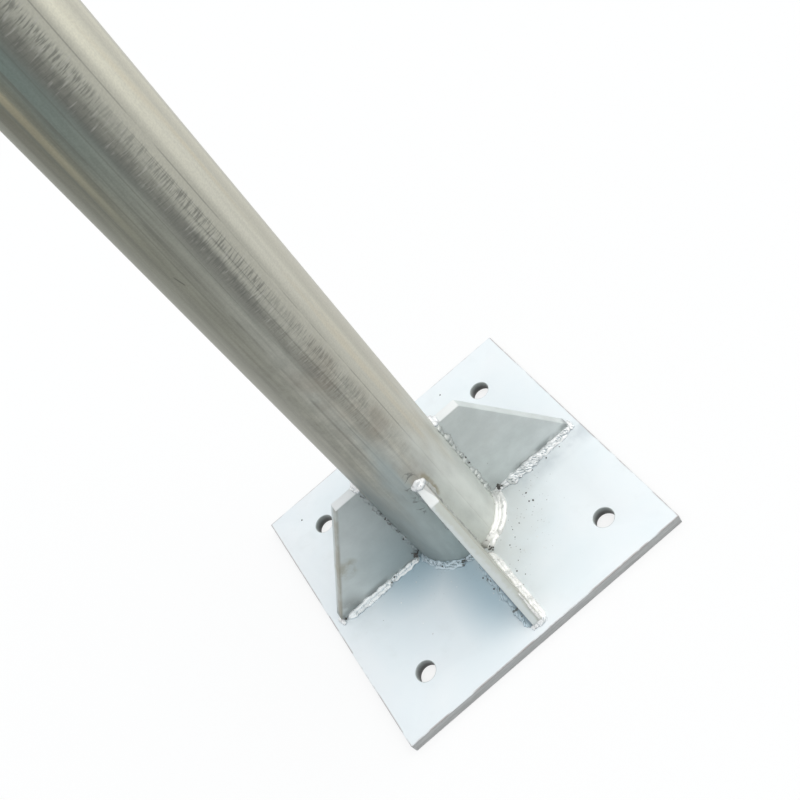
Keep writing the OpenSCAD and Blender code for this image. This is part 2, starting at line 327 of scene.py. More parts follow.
def bare_tube():
    """Bare rolled steel: bands of painted light, shade and reflection round the tube, a painted highlight,
    lengthwise streaks, dressing marks by the seam.
    """
    steel = Finish("bare_tube")
    height = steel.z
    turn = steel.y.work("ARCTAN2", steel.x)
    degrees = turn * (180 / math.pi)
    unrolled = pattern(steel.tree, "ShaderNodeCombineXYZ", 0, X=turn * shaft_r, Z=height)

    def stripe(value, middle, half, edge):
        """A lengthwise stripe round a direction, in degrees."""
        return abs(value - middle).band(half + edge, half)

    def patch(at_degrees, at_height, half_degrees, half_height):
        """A soft oval patch on the tube, with its middle and half sizes in degrees and metres."""
        across = (degrees - at_degrees) / half_degrees
        along = (height - at_height) / half_height
        return (across * across + along * along).band(1.0, 0.3)

    around = degrees + steel.noise(1.0, 3.0, (30, 30, 3.0)).band(0.2, 0.8, -9.0, 9.0)
    # Painted light, shade and reflection in bands round the tube: light and warm on the right, dark on the
    # left.
    steel.colour = pattern(steel.tree, "ShaderNodeValToRGB", "Color", Fac=(around + 180) / 360)
    painted_light_bands = [(-180, (0.40, 0.40, 0.35)), (-150, (0.265, 0.27, 0.21)), (-130, (0.225, 0.23, 0.175)),
             (-106, (0.31, 0.32, 0.27)), (-88, (0.285, 0.29, 0.245)), (-76, (0.50, 0.50, 0.43)),
             (-64, (0.61, 0.60, 0.51)), (-48, (0.76, 0.745, 0.645)), (-28, (0.72, 0.70, 0.585)),
             (0, (0.63, 0.615, 0.52)), (40, (0.50, 0.49, 0.43)), (180, (0.40, 0.40, 0.35))]
    stops = steel.colour.socket.node.color_ramp.elements
    for spare in list(stops)[1:]:
        stops.remove(spare)
    for number, (at, tone) in enumerate(painted_light_bands):
        stop = stops[0] if number == 0 else stops.new((at + 180) / 360)
        stop.position = (at + 180) / 360
        stop.color = (*tone, 1)
    # Painted highlight: a cream glow up the right side, growing higher up.
    glow = stripe(around, -48, 2, 14) * height.band(0.36, 0.54, 0.0, 0.75)
    steel.coat(glow, (1.0, 0.97, 0.80, 1))
    steel.coat(height.band(0.52, 0.13, 0.0, 0.55), (0.52, 0.51, 0.45, 1))
    # Painted reflections on the upper tube near its left edge: a warm strip, dark lines and a teal band.
    upper = height.band(0.38, 0.52) * height.band(1.2, 0.7, 0.3, 1.0)
    for middle, half, share, tone in ((-128, 1.8, 0.72, (0.52, 0.47, 0.32, 1)),
                                      (-119, 1.5, 0.4, (0.15, 0.145, 0.105, 1)),
                                      (-142, 5.0, 0.65, (0.13, 0.125, 0.09, 1))):
        steel.coat(stripe(degrees, middle, half, 3.5) * upper * share, tone)
    painted_teal_reflection = stripe(around, -106, 5, 13) * upper * 0.85
    steel.coat(painted_teal_reflection, (0.20, 0.265, 0.24, 1))
    drift = stripe(around, -108, 4, 12) * height.band(0.44, 0.18, 0.0, 0.68)
    steel.coat(drift, (0.57, 0.58, 0.52, 1))
    pale = stripe(around, -92, 7, 11) * height.band(0.31, 0.20, 0.0, 0.55)
    steel.coat(pale, (0.58, 0.56, 0.48, 1))

    streak = steel.noise(1.0, 4.0, (120, 120, 1.6), rough=0.55)
    steel.shade(streak.band(0.25, 0.75, 0.86, 1.14))
    drawn = steel.noise(1.0, 3.0, (280, 1, 16), rough=0.6, place=unrolled).band(0.3, 0.7, 0.86, 1.12)
    drawn_share = height.band(0.8, 0.4) * stripe(degrees, -112, 28, 16)
    steel.shade(steel.mix(drawn_share, (1, 1, 1, 1), drawn))
    blotch = steel.noise(70.0, 5.0, rough=0.65).band(0.35, 0.65, 0.88, 1.10)
    blotch_share = height.band(0.36, 0.22) * stripe(degrees, -102, 28, 14)
    steel.shade(steel.mix(blotch_share, (1, 1, 1, 1), blotch))
    # Warm streaks in the painted highlight.
    warm_highlight_streaks = steel.noise(1.0, 3.0, (90, 90, 5.0), (4.0, 1.0, 0.0)).band(0.48, 0.66, 0.0, 0.3)
    steel.coat(warm_highlight_streaks * stripe(degrees, -46, 10, 14), (0.80, 0.70, 0.50, 1))
    steel.shade(steel.noise(900.0, 3.0).band(0.3, 0.7, 0.95, 1.05))
    lines = steel.noise(1.0, 2.0, (420, 1, 3), place=unrolled).band(0.58, 0.70, 0.0, 0.4)
    steel.coat(lines * stripe(degrees, -104, 33, 8), (0.16, 0.165, 0.14, 1))

    worked = steel.noise(1.0, 3.0, (14, 1, 9), place=unrolled).band(0.28, 0.50)
    worked = worked * height.band(0.14, 0.30, 0.2, 1.0) * height.band(1.3, 0.7, 0.25, 1.0)
    smudge = stripe(around, -94, 4, 13) * 0.4
    steel.coat(smudge * worked, (0.13, 0.135, 0.125, 1))
    ticks = steel.noise(1.0, 1.0, (120, 1, 900), rough=0.55, place=unrolled).band(0.44, 0.64)
    rows = stripe(degrees, -75, 2.5, 7).most(stripe(degrees, -87, 2, 10) * 0.8)
    hatch = ticks * rows * worked
    steel.coat(hatch * 0.6, (0.13, 0.135, 0.12, 1))
    rubbed = steel.noise(1.0, 1.0, (110, 1, 560), (7.0, 0.0, 2.0), place=unrolled).band(0.56, 0.74, 0.0, 0.4)
    steel.coat(rubbed * stripe(degrees, -78, 10, 8), (0.66, 0.65, 0.60, 1))

    broken = steel.noise(1.0, 3.0, (20, 20, 30)).band(0.35, 0.55)
    scores = stripe(degrees, shaft_seam_degrees, 0.3, 0.6).most(stripe(degrees, -113, 0.5, 1.2))
    steel.coat(broken * scores * 0.4, (0.14, 0.14, 0.12, 1))
    tinted = steel.noise(26.0, 4.0).band(0.46, 0.66, 0.0, 0.45) * height.band(0.38, 0.20)
    steel.coat(tinted * stripe(degrees, -92, 16, 16), (0.34, 0.29, 0.23, 1))

    ragged = height + steel.noise(1.0, 4.0, (60, 60, 14)).band(0.2, 0.8, -0.04, 0.04)
    spray_and_top_light = ragged.band(0.185, 0.095, 0.0, 0.85)
    # The spray's tone carries painted light: dark and teal on the left, pale on the right, with a painted
    # highlight near -52 degrees.
    spray_tone_with_painted_light = steel.mix(degrees.band(-160.0, -108.0), (0.25, 0.30, 0.305, 1), (0.54, 0.625, 0.62, 1))
    spray_tone_with_painted_light = steel.mix(around.band(-106.0, -84.0), spray_tone_with_painted_light, (0.78, 0.815, 0.77, 1))
    spray_tone_with_painted_light = steel.mix(stripe(degrees, -52, 4, 16), spray_tone_with_painted_light, (0.86, 0.89, 0.84, 1))
    mottle = steel.noise(1.0, 5.0, (70, 70, 28), rough=0.6).band(0.3, 0.7, 0.89, 1.07)
    steel.coat(spray_and_top_light, steel.shaded(spray_tone_with_painted_light, mottle))
    by_gusset = ((turn - math.radians(4)) * 4.0).work("COSINE").band(0.62, 0.97)
    scorched = by_gusset * height.band(gusset_rise + 12 * MM, gusset_rise + 3 * MM)
    scorched = scorched * height.band(gusset_rise - 26 * MM, gusset_rise - 8 * MM)
    steel.coat(scorched * steel.noise(150.0, 4.0).band(0.36, 0.6, 0.15, 0.7), (0.42, 0.34, 0.25, 1))
    stained = patch(-80, 0.108, 6, 0.018) * steel.noise(160.0, 4.0).band(0.3, 0.6)
    steel.coat(stained * 0.8, (0.42, 0.38, 0.27, 1))
    # A web of fine dark lines on the tube, left of the near gusset's top.
    dark_web = abs(steel.noise(120.0, 2.0, shift=(3.1, 0.4, 0.0)) - 0.5).band(0.04, 0.01)
    dark_web_at = patch(-93, 0.126, 9, 0.010).most(patch(-102, 0.113, 7, 0.010))
    dark_web_at = dark_web_at.most(patch(-107, 0.095, 6, 0.012))
    steel.coat(dark_web * dark_web_at * 0.6, (0.12, 0.125, 0.115, 1))
    nick = abs((height - 0.364) * 500.0 + degrees + 127.5).band(1.2, 0.3) * patch(-127.5, 0.364, 3.5, 0.006)
    steel.coat(nick * 0.7, (0.10, 0.10, 0.085, 1))
    return steel.done(streak.band(0.2, 0.8, 0.36, 0.52), streak + hatch * 0.5, 0.15, 0.12 * MM,
                      spray_and_top_light.band(0.0, 0.85, 0.32, 0.05))


bpy.ops.object.select_all(action="DESELECT")
bpy.ops.mesh.primitive_cone_add(
    vertices=shaft_sides, radius1=shaft_r, radius2=shaft_top_r, depth=shaft_height, end_fill_type="NOTHING",
    location=(0, 0, shaft_low.z + shaft_height / 2), rotation=(0, 0, math.radians(shaft_seam_degrees + 90)))
shaft = bpy.context.object
shaft.name = "brushed_shaft"
fix_in_place(shaft)
bpy.ops.object.mode_set(mode="EDIT")
for edge in (-1, 1):
    seam_side = math.radians(shaft_seam_degrees) + edge * shaft_seam_half / shaft_r
    bpy.ops.mesh.select_all(action="SELECT")
    bpy.ops.mesh.bisect(plane_co=(0, 0, 0), plane_no=(-math.sin(seam_side), math.cos(seam_side), 0))
bpy.ops.object.mode_set(mode="OBJECT")
seam_way = Vector((math.cos(math.radians(shaft_seam_degrees)), math.sin(math.radians(shaft_seam_degrees)), 0))
for vertex in shaft.data.vertices:
    flat = Vector((vertex.co.x, vertex.co.y, 0))
    if flat.normalized().dot(seam_way) > 1 - 1e-7:
        vertex.co -= seam_way * shaft_seam_depth
finish_with(shaft, "SOLIDIFY", thickness=shaft_wall, offset=-1)
smooth(shaft, 50)
hand_over(shaft, bare_tube(), "pole_shaft")

# Four gussets of flat steel bar brace the shaft at the middle of each side of the plate. Each is
# sheared to a trapezoid with a level top, a long slope and a blunt toe, and painted with the plate.
SIDES = ("right", "back", "left", "front")
gusset_low, gusset_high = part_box("gusset_right")
gusset_points = [v.co for v in frame["nodes"]["gusset_right"].data.vertices]
gusset_top_end = max(p.x for p in gusset_points if p.z > gusset_high.z - MM / 10)
gusset_toe_z = max(p.z for p in gusset_points if p.x > gusset_high.x - MM / 10)
gusset_edge_round = 0.7 * MM
gusset_half = gusset_high.y


def shaded_gusset_paint():
    """The gussets' paint, darker and greener than the plate's as painted shade: stains and painted shade on
    the left one, a paler tone as painted light on the front and back ones, painted light and shade on the
    level tops, soot and painted shade above the foot welds, and sheared edges that it barely covers.
    Places are in metres from the plate's middle."""
    # The gussets take the plate's paint in a darker, greener tone: painted shade on their upright faces.
    paint = silver_paint("shaded_gusset_paint", (0.73, 0.79, 0.775, 1), (0.79, 0.84, 0.83, 1), 0.10)
    x, y, z = paint.x, paint.y, paint.z
    mottle = paint.noise(1.0, 5.0, (60, 60, 60), rough=0.6)
    stain_x, stain_z = (x + 0.084) / 0.012, (z - 0.057) / 0.014
    stain = (stain_x * stain_x + stain_z * stain_z).band(1.0, 0.1)
    paint.coat(stain * mottle.band(0.42, 0.62, 0.0, 0.6), (0.36, 0.33, 0.22, 1))
    smear = z.band(0.040, 0.016) * x.band(-0.085, -0.104)
    paint.coat(smear * mottle.band(0.38, 0.60, 0.15, 0.8), (0.26, 0.27, 0.255, 1))
    paint.shade(mottle.band(0.3, 0.7, 0.94, 1.05))
    # Painted shade, bluish, on the left gusset near the shaft.
    painted_left_shade = x.band(-0.095, -0.045) * x.band(-0.015, -0.03)
    paint.coat(painted_left_shade * z.band(0.08, 0.035, 0.36, 0.62), (0.40, 0.48, 0.49, 1))
    # Painted light: the front and back gussets take a paler tone than the left and right ones.
    on_edge = abs(x).band(gusset_half + MM, gusset_half)
    paint.coat(on_edge, (0.82, 0.87, 0.86, 1))
    torn = x + z.band(0.045, 0.105, -0.6 * MM, 1.6 * MM) + paint.noise(220.0, 4.0).band(0.25, 0.75, -MM, MM)
    sheared = torn.band(-2.0 * MM, 1.8 * MM, 0.0, 0.75) * on_edge
    paint.coat(sheared, (0.66, 0.68, 0.60, 1))
    crease = x.band(2.9 * MM, 3.7 * MM, 0.0, 0.5) * on_edge
    paint.coat(crease, (0.42, 0.40, 0.34, 1))
    run, fall = gusset_high.x - gusset_top_end, gusset_high.z - gusset_toe_z
    inside = ((x + gusset_top_end) * fall - (z - gusset_high.z) * run) / math.hypot(run, fall)
    dragged = inside.band(2.6 * MM, 0.4 * MM) * x.band(-0.03, -0.05) * y.band(2.0 * MM, -1.5 * MM, 0.0, 0.75)
    paint.coat(dragged * paint.noise(45.0, 4.0).band(0.3, 0.55, 0.3, 1.0), (0.40, 0.37, 0.29, 1))
    # Soot and painted shade on the gussets just above their foot welds.
    over_bead = z.band(deck + 11 * MM, deck + 5 * MM) * abs(x).band(0.052, 0.070)
    paint.coat(over_bead * paint.noise(70.0, 5.0).band(0.38, 0.62, 0.1, 0.7), (0.28, 0.31, 0.31, 1))
    # Painted light on the gussets' level tops, with painted shade on the right-hand part of the front and
    # back tops.
    lit_to = abs(y).band(0.038, gusset_top_end, 0.4 * MM, 4.0 * MM)
    painted_dim_part = on_edge * (x - lit_to).band(-0.3 * MM, 0.6 * MM)
    level = z.band(gusset_high.z - 0.9 * MM, gusset_high.z - 0.2 * MM, 0.0, 0.9)
    paint.coat(level, paint.mix(painted_dim_part, (0.94, 0.95, 0.94, 1), (0.62, 0.62, 0.61, 1)))
    return dry(paint)


bpy.ops.object.select_all(action="DESELECT")
bpy.ops.mesh.primitive_cube_add(size=1, location=(gusset_low + gusset_high) / 2)
first_gusset = bpy.context.object
first_gusset.scale = gusset_high - gusset_low
fix_in_place(first_gusset)
bpy.ops.object.mode_set(mode="EDIT")
bpy.ops.mesh.select_all(action="SELECT")
slope = Vector((gusset_high.x - gusset_top_end, 0, gusset_toe_z - gusset_high.z))
bpy.ops.mesh.bisect(plane_co=(gusset_top_end, 0, gusset_high.z), plane_no=(-slope.z, 0, slope.x),
                    use_fill=True, clear_outer=True)
bpy.ops.object.mode_set(mode="OBJECT")
round_edges(first_gusset, gusset_edge_round, 20)
smooth(first_gusset, 30)


def own_copy(source, name):
    """A copy of a piece, with a mesh of its own."""
    piece = source.copy()
    piece.data = source.data.copy()
    piece.name = name
    bpy.context.scene.collection.objects.link(piece)
    return piece


painted_steel = shaded_gusset_paint()
for quarter, side in enumerate(SIDES):
    gusset = own_copy(first_gusset, f"painted_gusset_{side}")
    gusset.rotation_euler.z = quarter * math.pi / 2
    fix_in_place(gusset)
    hand_over(gusset, painted_steel, f"gusset_{side}")
bpy.data.objects.remove(first_gusset)

# The weld round the shaft's foot is laid by hand in four runs, one between each pair of gussets.
# Each run is drawn in strokes of overlapping puddles, and painted over with the plate.
ring_points = [v.co for v in frame["nodes"]["ring_weld_front"].data.vertices]
ring_reach = max(math.hypot(p.x, p.y) for p in ring_points) - shaft_r
ring_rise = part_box("ring_weld_front")[1].z - deck
weld_voxel = 0.32 * MM
weld_pitch = 0.8 * MM
weld_bite = 0.6 * MM


def weld_silver(name, low_tone, high_tone, pitted, shine=0.3, outer_tone=None, toe_slag_and_shade=0.6):
    """Painted weld metal with painted light and shade: bright on its crowns and on faces that look up, grey
    and dark in the creases, with slag and painted contact shade along its toes. An outer tone is the crowns'
    tone away from the gusset, and the last share is how dark the slag and shade at the toes get."""
    weld = Finish(name)
    bend = pattern(weld.tree, "ShaderNodeNewGeometry", "Pointiness")
    # Painted light: faces that look up are brighter.
    spray_and_top_light = axes_of(weld.tree, bend.other("Normal"))[2].band(0.0, 0.75, 0.3, 1.0)
    mottle = weld.noise(150.0, 4.0)
    beside = abs(weld.x).work("MINIMUM", abs(weld.y)) - gusset_half
    if outer_tone:
        high_tone = weld.mix(beside.band(1.0 * MM, 3.5 * MM), high_tone, outer_tone)
    # Painted highlight on the convex crowns, from the mesh's pointiness.
    weld.colour = weld.mix(bend.band(0.464, 0.512) * spray_and_top_light, low_tone, high_tone)
    weld.shade(mottle.band(0.3, 0.6, 0.84, 1.03))
    # Painted shade in the creases.
    weld.coat(bend.band(0.466, 0.39, 0.0, 0.7), (0.22, 0.24, 0.245, 1))
    # Slag and painted contact shade along the toes.
    over_plate = (weld.z - deck).band(0.9 * MM, 0.1 * MM, 0.0, 0.5)
    slag_and_shade_at_toes = abs(beside).band(1.3 * MM, 0.2 * MM).most(over_plate)
    weld.coat(slag_and_shade_at_toes * weld.noise(120.0, 4.0).band(0.42, 0.66, 0.0, toe_slag_and_shade), (0.20, 0.20, 0.19, 1))
    weld.coat(weld.noise(230.0, 2.0).band(pitted, pitted + 0.05, 0.0, 0.85), (0.13, 0.13, 0.12, 1))
    return weld.done(mottle.band(0.3, 0.7, 0.22, 0.40), mottle, 0.1, 0.2 * MM, shine)


# The runs are all one painted weld metal. The copies below differ in tone by painted light and shade: the
# bright copy is weld in light, and the dull, cool and darkest copies are weld in shade. The darkest one
# lightens away from the gusset, so its painted shade lies along the gusset's foot.
bright_weld = weld_silver("bright_weld", (0.84, 0.84, 0.80, 1), (1.0, 0.995, 0.97, 1), 0.80, 0.3, toe_slag_and_shade=0.2)
smooth_weld = weld_silver("smooth_weld", (0.42, 0.48, 0.51, 1), (0.99, 1.0, 1.0, 1), 0.70, 0.3)
dull_shaded_weld = weld_silver("dull_shaded_weld", (0.26, 0.33, 0.36, 1), (0.68, 0.79, 0.85, 1), 0.62, 0.25)
cool_weld = weld_silver("cool_weld", (0.46, 0.56, 0.61, 1), (0.96, 1.0, 1.0, 1), 0.70, 0.45)
shaded_weld = weld_silver("shaded_weld", (0.18, 0.23, 0.26, 1), (0.26, 0.34, 0.39, 1), 0.62, 0.1,
                         (0.62, 0.74, 0.80, 1))

bpy.ops.object.select_all(action="DESELECT")
bpy.ops.mesh.primitive_uv_sphere_add(segments=18, ring_count=11, radius=1)
puddle = bpy.context.object
puddle_points = [v.co.copy() for v in puddle.data.vertices]
puddle_faces = [tuple(f.vertices) for f in puddle.data.polygons]
bpy.data.objects.remove(puddle)


def build_piece(name, points, faces):
    """A new piece from its points and faces."""
    mesh = bpy.data.meshes.new(name)
    mesh.from_pydata(points, [], faces)
    piece = bpy.data.objects.new(name, mesh)
    bpy.context.scene.collection.objects.link(piece)
    return piece


def fuse(piece, voxel):
    """Fuse the lumps of a piece where they meet, and smooth them a little."""
    finish_with(piece, "REMESH", mode="VOXEL", voxel_size=voxel)
    finish_with(piece, "SMOOTH", factor=0.5, iterations=2)


def quarter_turn(quarter):
    """The turn from the right-hand side of the plate to another side."""
    return Matrix.Rotation(quarter * math.pi / 2, 3, "Z")


def hand_wander(dice):
    """An uneven wave along a weld, from about -1 to 1, as a hand makes it."""
    waves = [(2 * math.pi / (length * MM), dice.uniform(0, 2 * math.pi)) for length in (23, 13, 7)]
    return lambda along: sum(math.sin(along * speed + start) for speed, start in waves) / 2


def lay_run(name, corner_at, strokes, reach, rise, seed, finish, node=None, bite=weld_bite):
    """Lay a weld along a corner. corner_at(share) gives the corner's point, the way along it, and the ways
    out over the one face and up the other. A stroke is a core with strands of metal lying along it: begin
    share, end share, size share, number of strands, unevenness, slanting ridges a millimetre and shift
    outwards. The bite is how far the weld runs into the upright face."""
    dice = random.Random(seed)
    points, faces = [], []

    def add_puddle(middle, *half_sizes):
        basis = Matrix(half_sizes).transposed()
        base = len(points)
        points.extend(middle + basis @ p for p in puddle_points)
        faces.extend(tuple(base + k for k in face) for face in puddle_faces)

    length = sum((corner_at((i + 1) / 16)[0] - corner_at(i / 16)[0]).length for i in range(16))
    for begin, end, size, strands, uneven, ridges, shift in strokes:
        swell = hand_wander(dice)
        ropes = [(hand_wander(dice), hand_wander(dice), dice.uniform(0.0, 0.15), dice.uniform(0.85, 1.0))
                 for _ in range(strands)]
        stroke = length * abs(end - begin)

        def section(at):
            """The weld's section at a length along the stroke."""
            corner, along, out, up = corner_at(begin + (end - begin) * at / stroke)
            to_end = max(0.0, min(1.0, min(at, stroke - at) / (rise * size)))
            grow = size * (1 + uneven * swell(at)) * (0.7 + 0.3 * math.sqrt(to_end))
            chord = (out * reach - up * rise) * grow
            crown = (out * rise + up * reach).normalized()
            thick = 0.5 * min(reach, rise) * grow
            return corner + out * reach * shift, up * rise * grow, along, chord, crown, thick

        count = max(2, round(stroke / weld_pitch))
        for i in range(count + 1):
            at = stroke * i / count
            root, top, along, chord, crown, thick = section(at)
            add_puddle(root + top + chord / 2 - crown * thick * 0.6,
                       along * thick * 1.3, chord * 0.58, crown * thick)
            for number, (sway, breath, start, stop) in enumerate(ropes):
                to_end = min(i / count - start, stop - i / count) * stroke
                half = chord * 0.56 / strands * (1 + (0.05 + uneven) * breath(at))
                if to_end < 0:
                    continue
                across = (number + 0.5) / strands + (0.06 + uneven) * sway(at) / strands
                lift = 0.4 * thick * math.sqrt(max(0.0, 1 - (2 * across - 1) ** 2))
                tall = 0.62 * half.length * math.sqrt(min(1.0, 0.15 + to_end / (2 * half.length)))
                add_puddle(root + top + chord * across + crown * (lift - 0.5 * tall),
                           along * tall * 1.3, half, crown * tall)
        for _ in range(round(ridges * stroke / MM)):
            root, top, along, chord, crown, thick = section(stroke * dice.uniform(0.08, 0.92))
            across, slant, big = dice.uniform(0.12, 0.9), dice.uniform(0.4, 1.1), dice.uniform(0.7, 1.25) * MM
            way = along * math.cos(slant) + chord.normalized() * math.sin(slant)
            lift = 0.4 * thick * math.sqrt(1 - (2 * across - 1) ** 2)
            add_puddle(root + top + chord * across + crown * (lift + 0.1 * big), way * 1.7 * big,
                       crown.cross(way) * 0.6 * big, crown * 0.8 * big)
    run = build_piece(name, points, faces)
    fuse(run, weld_voxel)
    corner, _, out, up = corner_at(0.5)
    straight = corner_at(0.0)[2].dot(out) > 1 - 1e-6
    bpy.ops.object.mode_set(mode="EDIT")
    for normal, depth in (((out, bite), (up, weld_bite)) if straight else ((up, weld_bite),)):
        bpy.ops.mesh.select_all(action="SELECT")
        bpy.ops.mesh.bisect(plane_co=corner - normal * depth, plane_no=normal,
                            use_fill=True, clear_inner=True)
    bpy.ops.object.mode_set(mode="OBJECT")
    only(run)
    bpy.ops.object.shade_smooth()
    hand_over(run, finish, node)


def ring_corner(quarter):
    """The corner between the shaft and the plate, in the quarter after a gusset."""
    inset = math.asin(gusset_half / shaft_r)

    def corner_at(share):
        angle = quarter * math.pi / 2 + inset + share * (math.pi / 2 - 2 * inset)
        radial = Vector((math.cos(angle), math.sin(angle), 0))
        point = radial * shaft_r + Vector((0, 0, deck))
        return point, Vector((-radial.y, radial.x, 0)), radial, Vector((0, 0, 1))

    return corner_at


ring_strokes = {
    "front": [(1.00, 0.14, 0.56, 3, 0.03, 0.0, 0.02), (0.97, 0.28, 0.30, 1, 0.06, 0.0, 0.48),
              (1.00, 0.62, 0.34, 1, 0.06, 0.0, 0.30), (0.26, 0.05, 0.28, 1, 0.14, 0.0, 0.42)],
    "left": [(0.02, 0.50, 0.36, 2, 0.18, 1.1, 0.02), (0.46, 0.80, 0.40, 2, 0.20, 1.1, 0.05),
             (0.84, 1.00, 0.36, 2, 0.12, 0.3, 0.04), (0.34, 0.80, 0.18, 1, 0.20, 0.0, 0.36)],
    "right": [(0.02, 0.55, 0.54, 3, 0.10, 0.1, 0.04), (0.48, 0.98, 0.54, 2, 0.12, 0.0, 0.06)],
    "back": [(0.02, 0.40, 0.54, 2, 0.12, 0.0, 0.04), (0.34, 0.98, 0.56, 3, 0.10, 0.1, 0.05)],
}
ring_finish = {"front": bright_weld, "left": dull_shaded_weld}
ring_seed = 10
for quarter, side in enumerate(SIDES):
    lay_run(f"weld_ring_{side}", ring_corner(quarter), ring_strokes[side], ring_reach, ring_rise,
            ring_seed + quarter, ring_finish.get(side, smooth_weld), f"ring_weld_{side}")
burnt_weld = weld_silver("burnt_weld", (0.24, 0.24, 0.225, 1), (0.56, 0.56, 0.53, 1), 0.58, 0.1)
crater_strokes = [(0.20, 0.00, 0.34, 1, 0.25, 0.0, 0.0)]
crater_seed = 18
lay_run("weld_crater_front", ring_corner(SIDES.index("front")), crater_strokes, ring_reach, ring_rise,
        crater_seed, burnt_weld)

# Fillet welds run along both sides of each gusset's foot, from the ring weld out to the toe.
# They are laid in short strokes that overlap, some smooth and ropy, some woven from side to side.
foot_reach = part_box("foot_weld_front_a")[1].x - gusset_half
foot_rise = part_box("foot_weld_front_a")[1].z - deck
foot_bite = 3 * MM
foot_seed = 30


def foot_corner(quarter, hand):
    """The corner between one face of a gusset and the plate, from the shaft to the toe."""
    turn = quarter_turn(quarter)

    def corner_at(share):
        point = Vector((shaft_r + share * (gusset_high.x - shaft_r), hand * gusset_half, deck))
        return turn @ point, turn @ Vector((1, 0, 0)), turn @ Vector((0, hand, 0)), Vector((0, 0, 1))

    return corner_at


plain_foot = [(0.06, 0.55, 0.52, 3, 0.10, 0.2, 0.04), (0.48, 0.97, 0.56, 2, 0.10, 0.0, 0.04)]
foot_strokes = {
    "left_a": [(0.92, 0.40, 0.50, 2, 0.07, 0.15, 0.02), (0.38, 0.05, 0.40, 2, 0.09, 0.20, 0.04),
               (0.72, 0.42, 0.20, 1, 0.12, 0.00, 0.36)],
    "right_b": [(0.04, 0.30, 0.42, 2, 0.08, 0.4, 0.04), (0.20, 0.60, 0.60, 3, 0.14, 1.6, 0.10),
                (0.57, 0.98, 0.42, 2, 0.14, 0.9, 0.04), (0.62, 0.92, 0.20, 1, 0.20, 0.0, 0.42)],
    "front_a": [(0.12, 0.62, 0.50, 2, 0.05, 0.0, -0.02), (0.34, 0.86, 0.20, 1, 0.10, 0.0, 0.32),
                (0.52, 0.99, 0.50, 2, 0.06, 0.1, -0.04)],
    "front_b": [(0.12, 0.97, 0.42, 1, 0.12, 0.1, 0.0), (0.30, 0.40, 0.24, 1, 0.1, 0.4, 0.34),
                (0.52, 0.62, 0.24, 1, 0.1, 0.4, 0.34), (0.70, 0.95, 0.24, 1, 0.2, 0.6, 0.30)],
}
foot_finish = {"front_a": bright_weld, "front_b": shaded_weld, "left_a": cool_weld}
for quarter, side in enumerate(SIDES):
    for letter, hand in (("a", 1), ("b", -1)):
        run = f"{side}_{letter}"
        lay_run(f"weld_foot_{run}", foot_corner(quarter, hand), foot_strokes.get(run, plain_foot),
                foot_reach, foot_rise, foot_seed + 2 * quarter + hand, foot_finish.get(run, smooth_weld),
                f"foot_weld_{run}", foot_bite)

# A last dab of weld wraps the blunt toe of each gusset and joins its two foot welds.
# It is a lump drawn across the toe's end in one slow stroke.
toe_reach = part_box("toe_weld_right")[1].x - gusset_high.x
toe_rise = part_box("toe_weld_right")[1].z - deck
toe_swell = 1.2
toe_bite = 2 * MM
toe_seed = 90


def toe_corner(quarter):
    """The corner between a gusset's toe and the plate, from one face of the gusset to the other."""
    turn = quarter_turn(quarter)

    def corner_at(share):
        point = Vector((gusset_high.x, gusset_half * (1 - 2 * share), deck))
        return turn @ point, turn @ Vector((0, -1, 0)), turn @ Vector((1, 0, 0)), Vector((0, 0, 1))

    return corner_at


toe_strokes = {"front": [(-0.30, 0.60, 0.58, 1, 0.10, 0.8, -0.15), (0.50, 1.20, 0.46, 1, 0.15, 0.8, -0.15)],
               "right": [(0.30, 1.35, 0.60, 1, 0.12, 0.4, -0.15)],
               "left": [(-0.35, 0.60, 0.60, 1, 0.12, 0.6, -0.15)],
               "back": [(-0.20, 1.10, 0.60, 2, 0.12, 0.0, -0.15)]}
for quarter, side in enumerate(SIDES):
    lay_run(f"weld_toe_{side}", toe_corner(quarter), toe_strokes[side], toe_reach, toe_rise * toe_swell,
            toe_seed + quarter, smooth_weld, f"toe_weld_{side}", toe_bite)

# One short weld climbs from the near gusset's toe up the right-hand edge of its slope.
# It is drawn in two strokes that thin out upwards.
climb_length = 26 * MM
climb_reach = 4 * MM
climb_rise = 3 * MM
climb_bite = 3 * MM
climb_seed = 96
climb_strokes = [(0.0, 0.55, 0.44, 1, 0.08, 0.0, -0.45), (0.4, 1.0, 0.30, 1, 0.1, 0.0, -0.35)]


def slope_edge(share):
    """The near gusset's right-hand sloping edge, from its toe up."""
    way = Vector((0, gusset_high.x - gusset_top_end, gusset_high.z - gusset_toe_z)).normalized()
    return (Vector((gusset_half, -gusset_high.x, gusset_toe_z)) + way * share * climb_length, way,
            Vector((1, 0, 0)), Vector((0, -way.z, way.y)))


lay_run("weld_climb_front", slope_edge, climb_strokes, climb_reach, climb_rise, climb_seed, bright_weld,
        None, climb_bite)

# Thin welds run up both sides of each gusset where it meets the shaft. They are tacked in
# short dabs, so they are broken and spotty, with slag left between the dabs.
seam_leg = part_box("seam_weld_front_a")[1].x - gusset_half
seam_seed = 50
pitted_weld = weld_silver("pitted_weld", (0.48, 0.51, 0.49, 1), (0.80, 0.83, 0.80, 1), 0.68)


def seam_corner(quarter, hand):
    """The corner between one face of a gusset and the shaft, from the plate to the gusset's top."""
    turn = quarter_turn(quarter)

    def corner_at(share):
        rise = share * (gusset_high.z - deck)
        reach = math.sqrt((shaft_r - shaft_taper_share * rise) ** 2 - gusset_half ** 2)
        return (turn @ Vector((reach, hand * gusset_half, deck + rise)), Vector((0, 0, 1)),
                turn @ Vector((0, hand, 0)), turn @ Vector((1, 0, 0)))

    return corner_at


